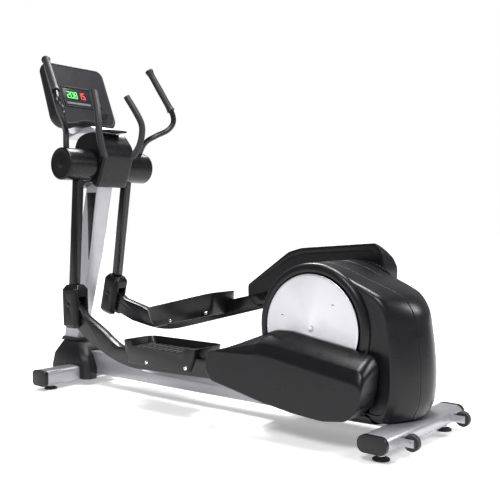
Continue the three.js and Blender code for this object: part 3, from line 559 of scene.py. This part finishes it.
def make_disc(side, sign):
    """The silver crank disc with its dished middle and three small screws."""
    profile = [(0, 177), (206, 177), (210.5, 177.6), (212, 179.5), (211.5, 182), (209, 183.6),
               (204, 184), (150, 184.1), (60, 183.8), (16, 183), (12, 182.4), (10, 180.6), (0, 180.4)]
    centre = (CRANK.x, 0, CRANK.z)
    bm = turned([(r * MM, sign * y * MM) for r, y in profile], centre, 128)
    add_piece(f"disc_{side}", bm, disc_silver, "crank", replaces=[f"crank_disc_{side}"])
    bolts = []
    for k in range(3):
        turn = math.radians(DISC_SCREWS["first"] + 120 * k)
        angle = REST_ANGLE + turn + (0 if side == "left" else math.pi)
        place = Vector((math.cos(angle), 0, math.sin(angle))) * DISC_SCREWS["circle"] + Vector(centre)
        place.y = sign * DISC_SCREWS["y"]
        bolts.append(screw(place, 5 * MM, sign, 1.4))
    add_piece(f"disc_screws_{side}", merge(*bolts), steel, "crank")


# ------------------------------------------------------------------ pedal levers
# Lever cover outline in millimetres: x from the lower pivot, z, and how far that point drops outwards.
COVER_OUTLINE = [
    (955, -80, 0), (960, -8, 0), (985, 5, 0), (1212, 128, 0.9), (1285, 140, 1), (1666, 129, 1),
    (1690, 92, 0.7), (1694, 12, 0), (1684, -56, 0), (1640, -108, 0), (1542, -134, 0),
    (1410, -141, 0), (1249, -138, 0), (990, -118, 0),
]
# |y| across the cover, the drop of the roof there, and how far the outline is drawn in.
COVER_SECTIONS = [(187, 0, 34), (188.5, 0, 30), (188.5, 0, 22), (187, 0, 18), (187, 0, 8), (188.5, 0, 3),
                  (191, 0.5, 0.8), (196, 2, 0), (225, 13, 0), (255, 28, 0), (280, 45, 0), (287, 52, 0),
                  (299, 80, 0), (301, 85, 1.5), (302.4, 89, 4), (303, 93, 8)]
COVER_CENTRE = (1330, -5)
COVER_REACH = (300, 90)     # beyond this distance from the centre an inset counts in full
COVER_CORNER = 17


def cover_ring(y, drop, inset):
    """The cover's outline at one place across it, in millimetres."""
    cx, cz = COVER_CENTRE
    reach_x, reach_z = COVER_REACH
    ring = []
    for x, z, share in COVER_OUTLINE:
        along = max(-1, min(1, (x - cx) / reach_x))
        up = max(-1, min(1, (z - cz) / reach_z))
        z -= share * drop
        ring.append((x - inset * along, y, z - inset * up))
    return ring


def make_cover(side, sign):
    """The faceted cover over the rear of the lever."""
    rings = []
    for y, drop, inset in COVER_SECTIONS:
        ring = round_corners(cover_ring(sign * y, drop, inset), COVER_CORNER)
        rings.append([point * MM for point in ring])
    bm = moved(skin(rings), lever_frame(side))
    add_piece(f"cover_{side}", bm, cover_plastic, f"{side}_pedal_arm",
              replaces=[f"lever_cover_{side}"])


# Ribs on the tray floor and bolts through its sides, in metres of the tray's frame.
RIB = {"count": 11, "first": 0.118, "pitch": 0.036, "width": 0.012, "bottom": 0.0375, "top": 0.0405}
RIB_SPANS = ((0.080, 0.134), (0.146, 0.226))
BOLT_ROWS = (0.231, 0.470)
BOLT_HEIGHT = -0.013
TRAY_SIDES = {"outer": 0.2455, "inner": 0.0585}


def make_tray_details(side, sign):
    """Raised ribs on the tray floor and the chrome bolts that hold the pedal to the lever."""
    ribs = []
    for k in range(RIB["count"]):
        x = RIB["first"] + RIB["pitch"] * k
        for y0, y1 in RIB_SPANS:
            low, high = sorted((sign * y0, sign * y1))
            ribs.append(block((x, low, RIB["bottom"]), (x + RIB["width"], high, RIB["top"]), 1.2 * MM))
    bm = moved(merge(*ribs), tray_frame(side))
    add_piece(f"pedal_ribs_{side}", bm, rubber, f"{side}_pedal_arm")
    bolts = []
    for x in BOLT_ROWS:
        for y, way in ((TRAY_SIDES["outer"], sign), (TRAY_SIDES["inner"], -sign)):
            bolts.append(screw((x, sign * y, BOLT_HEIGHT), 8 * MM, way, 4.0))
    bm = moved(merge(*bolts), tray_frame(side))
    add_piece(f"pedal_bolts_{side}", bm, chrome, f"{side}_pedal_arm")


# ------------------------------------------------------------------ swing arms
def make_hub(side, sign):
    """The swing arm's hub with its end cap: a fine seam, a rim and a raised middle."""
    profile = [(0, 103.6), (60, 103.6), (74, 103.8), (78, 105), (79, 108), (79, 262),
               (78.2, 262.6), (77.6, 263.4), (78.2, 264.2), (79, 264.8), (79, 267),
               (77.6, 270.5), (74, 272.6), (68, 273), (66, 271.8), (60, 271.2),
               (22, 271.6), (20, 273.4), (0, 273.6)]
    bm = turned([(r * MM, sign * y * MM) for r, y in profile], (SWING.x, 0, SWING.z), 96)
    add_piece(f"hub_{side}", bm, hub_plastic, f"{side}_swing_arm",
              replaces=[f"swing_hub_{side}"])


PIVOT_DROP = -0.690      # the lower pivot pin, down the swing arm
SLEEVE_SIDES = {"outer": 0.2535, "inner": 0.1605}


def make_sleeve_caps(side, sign):
    """Caps over the two ends of the lower pivot pin."""
    caps = []
    for y, way in ((SLEEVE_SIDES["outer"], sign), (SLEEVE_SIDES["inner"], -sign)):
        caps.append(screw((0, sign * y, PIVOT_DROP), 9 * MM, way, 3.0))
    bm = moved(merge(*caps), swing_frame(side))
    add_piece(f"sleeve_caps_{side}", bm, black_gloss, f"{side}_swing_arm")


# ------------------------------------------------------------------ shroud
def make_shroud():
    """Rounded casing of the swing shaft, in millimetres from the shaft."""
    outline = [(-105, -112), (-116, -60), (-118, 20), (-113, 85), (-95, 130), (-60, 155),
               (-19, 164), (47, 164), (93, 120), (112, 92), (119, 55), (110, 15),
               (57, -105), (20, -86), (-30, -92)]
    edge = [(82, 0), (90, 0.8), (96, 3.5), (99.5, 9)]
    reach = 130
    rings = []
    for y, inset in [(-y, inset) for y, inset in edge[::-1]] + edge:
        scale = 1 - inset / reach
        rings.append([(SWING.x + p.x * scale * MM, y * MM, SWING.z + p.z * scale * MM)
                      for p in smooth_path([(x, 0, z) for x, z in outline], 4)])
    add_piece("shroud", skin(rings), hub_plastic, "frame", replaces=["pivot_shroud"])


# ------------------------------------------------------------------ console
# Millimetres of the console frame.
CONSOLE_HALF = Vector((0, 196, 178))
LOWER_CORNER = 62
UPPER_CORNER = 44
ARCH_HEIGHT = 26
ARCH_HALF_WIDTH = 80
ARCH_SHOWN = 76          # half the width over which the arch cuts the lower edge


def console_outline(steps=10):
    """(y, z) round the console: round corners and a shallow arch in the lower edge."""
    hy, hz = CONSOLE_HALF.y, CONSOLE_HALF.z
    points = []
    corners = ((1, -1, LOWER_CORNER, -90), (1, 1, UPPER_CORNER, 0),
               (-1, 1, UPPER_CORNER, 90), (-1, -1, LOWER_CORNER, 180))
    for cy, cz, radius, start in corners:
        for k in range(steps + 1):
            angle = math.radians(start + 90 * k / steps)
            points.append((cy * (hy - radius) + radius * math.cos(angle),
                           cz * (hz - radius) + radius * math.sin(angle)))
    for k in range(13):
        across = ARCH_SHOWN * (k / 6 - 1)
        points.append((across, -hz + ARCH_HEIGHT * math.sqrt(1 - (across / ARCH_HALF_WIDTH) ** 2)))
    return points


def make_console():
    """The console casing. Its sections are (distance out of the face, inset); the back slims upwards."""
    hy, hz = CONSOLE_HALF.y, CONSOLE_HALF.z
    sections = [(-1.6, 13), (-1.4, 11.5), (-0.2, 10.4), (0, 9.4), (0, 7), (-1.2, 3), (-3.6, 0.8),
                (-7, 0), (-12, 0), (-12.3, 0.9), (-13.3, 0.9), (-13.6, 0), (-40, 0), (-56, 3),
                (-66, 9), (-72, 18), (-74, 30)]
    rings = []
    for out, inset in sections:
        ring = []
        for y, z in console_outline():
            slim = 1 - 0.35 * max(0, min(1, (z - 40) / 138)) if out < -20 else 1
            ring.append((out * slim * MM, y * (1 - inset / hy) * MM, z * (1 - inset / hz) * MM))
        rings.append(ring)
    bm = moved(skin(rings), console_frame())
    add_piece("console_body", bm, console_plastic, "frame",
              replaces=["console_back", "console_face"])


# Each display segment's ends (y, z, y, z) in a unit figure, and the segments each figure lights.
SEGMENTS = {"a": (0, 1, 1, 1), "b": (1, 1, 1, 0.5), "c": (1, 0.5, 1, 0), "d": (0, 0, 1, 0),
            "e": (0, 0.5, 0, 0), "f": (0, 1, 0, 0.5), "g": (0, 0.5, 1, 0.5)}
DIGITS = {"0": "abcdef", "1": "bc", "2": "abged", "5": "afgcd", "8": "abcdefg"}
SEGMENT_HALF = 1.4
FIGURE = {"pitch": 23, "bottom": -20, "width": 15, "height": 34}


def digit(figure, y, z, width, height):
    """Seven-segment figure on the display, in millimetres of the console frame."""
    bars = []
    for name in DIGITS[figure]:
        y0, z0, y1, z1 = SEGMENTS[name]
        low = (0.6, y + min(y0, y1) * width - SEGMENT_HALF, z + min(z0, z1) * height - SEGMENT_HALF)
        high = (1.0, y + max(y0, y1) * width + SEGMENT_HALF, z + max(z0, z1) * height + SEGMENT_HALF)
        bars.append(block([v * MM for v in low], [v * MM for v in high], 0.15 * MM, 1))
    return bars


def make_console_details():
    """Digits, display frame, key panel, slats and the round socket at the lower left."""
    place = console_frame()
    rows = {"green": (green_glow, "208", -90), "red": (red_glow, "15", -16)}
    for name, (material, figures, start) in rows.items():
        bars = []
        for k, figure in enumerate(figures):
            y = start + FIGURE["pitch"] * k
            bars += digit(figure, y, FIGURE["bottom"], FIGURE["width"], FIGURE["height"])
        add_piece(f"{name}_digits", moved(merge(*bars), place), material, "frame")

    def pad(name, low, high, bevel, material=console_plastic, segments=3):
        low, high = [v * MM for v in low], [v * MM for v in high]
        bm = moved(block(low, high, bevel * MM, segments), place)
        add_piece(name, bm, material, "frame")

    frame_bars = [((-2, -119, 38), (2.2, 65, 46)), ((-2, -119, -72), (2.2, 65, -64)),
                  ((-2, -119, -68), (2.2, -113, 42)), ((-2, 59, -68), (2.2, 65, 42))]
    bars = [block([v * MM for v in low], [v * MM for v in high], 1.0 * MM) for low, high in frame_bars]
    add_piece("display_frame", moved(merge(*bars), place), boot_plastic, "frame")
    pad("display_strip", (0.2, -104, -56), (0.9, 50, -44), 0.3, key_rubber, 2)
    pad("key_panel", (-2, 86, -62), (1.8, 128, 28), 1.7)
    pad("centre_key", (0, 99, -23), (3.2, 115, -11), 1.4, key_rubber)
    slats = []
    for k in range(7):
        z = -92 - 8 * k
        low, high = (-2, 78 + 3 * k, z), (1.6, 158 - 4 * k, z + 3.6)
        slats.append(block([v * MM for v in low], [v * MM for v in high], 0.8 * MM))
    add_piece("speaker_slats", moved(merge(*slats), place), console_plastic, "frame")
    profile = [(0, -2), (10, -2), (10, 1), (8.6, 2.4), (7.8, 10), (6.4, 12), (0, 12.4)]
    knob = turned(profile, (0, 0, 0), 32, "Z")
    knob = moved(knob, Matrix.Scale(MM, 4))
    knob = moved(knob, place @ Matrix.Translation((0, -0.152, -0.118)) @ turn_y(math.pi / 2))
    add_piece("clip_socket", knob, black_gloss, "frame")


# ------------------------------------------------------------------ wheels and feet
# One half of the transport wheel's profile: shares of its radius and of its half width.
WHEEL_PROFILE = [(0.15, -1), (0.5, -1), (0.56, -0.72), (0.78, -0.72), (0.86, -1), (0.95, -0.9),
                 (1, -0.62), (1, -0.2), (0.975, -0.14)]


def make_wheel(side):
    """A transport wheel with recessed sides and a groove in the tread."""
    low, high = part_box(f"transport_wheel_{side}")
    centre, radius, half = (low + high) / 2, (high.z - low.z) / 2, (high.y - low.y) / 2
    whole = WHEEL_PROFILE + [(r, -h) for r, h in WHEEL_PROFILE[::-1]] + WHEEL_PROFILE[:1]
    bm = turned([(r * radius, h * half) for r, h in whole], centre, 64)
    add_piece(f"wheel_{side}", bm, wheel_rubber, f"{side}_wheel",
              replaces=[f"transport_wheel_{side}"])


def make_foot(end, side):
    """A levelling foot: rubber pad, hexagon nut and threaded stud."""
    low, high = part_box(f"{end}_levelling_foot_{side}")
    x, y = (low.x + high.x) / 2, (low.y + high.y) / 2
    r = (high.x - low.x) / 2
    pad = [(0, 0), (r - 1.5 * MM, 0), (r, 1.5 * MM), (r, 5.5 * MM), (r - 2 * MM, 8 * MM),
           (0.72 * r, 11.5 * MM), (0.5 * r, 13.4 * MM), (0, 13.6 * MM)]
    add_piece(f"{end}_foot_pad_{side}", turned(pad, (x, y, 0), 48, "Z"), rubber,
              f"{end}_{side}_foot", replaces=[f"{end}_levelling_foot_{side}"])
    nut = turned([(0, 13), (13, 13), (15, 14), (15, 19), (13, 20), (0, 20)], (0, 0, 0), 6, "Z")
    top = high.z / MM - 0.2
    thread = [(6.6 - 0.8 * (k % 2), 20 + 1.2 * k) for k in range(1, 20) if 20 + 1.2 * k < top]
    stud = turned([(0, 12), (6.6, 12)] + thread + [(0, top)], (0, 0, 0), 20, "Z")
    bm = moved(merge(nut, stud), Matrix.Translation((x, y, 0)) @ Matrix.Scale(MM, 4))
    add_piece(f"{end}_foot_stud_{side}", bm, steel, f"{end}_{side}_foot")


make_housing()
make_shroud()
make_console()
make_console_details()
for side_name, side_sign in SIDES.items():
    make_hood_ring(side_name, side_sign)
    make_disc(side_name, side_sign)
    make_cover(side_name, side_sign)
    make_tray_details(side_name, side_sign)
    make_hub(side_name, side_sign)
    make_sleeve_caps(side_name, side_sign)
    make_wheel(side_name)
    for bar_end in ("front", "rear"):
        make_foot(bar_end, side_name)

finish_cad_nodes()
make_camera()
make_studio()
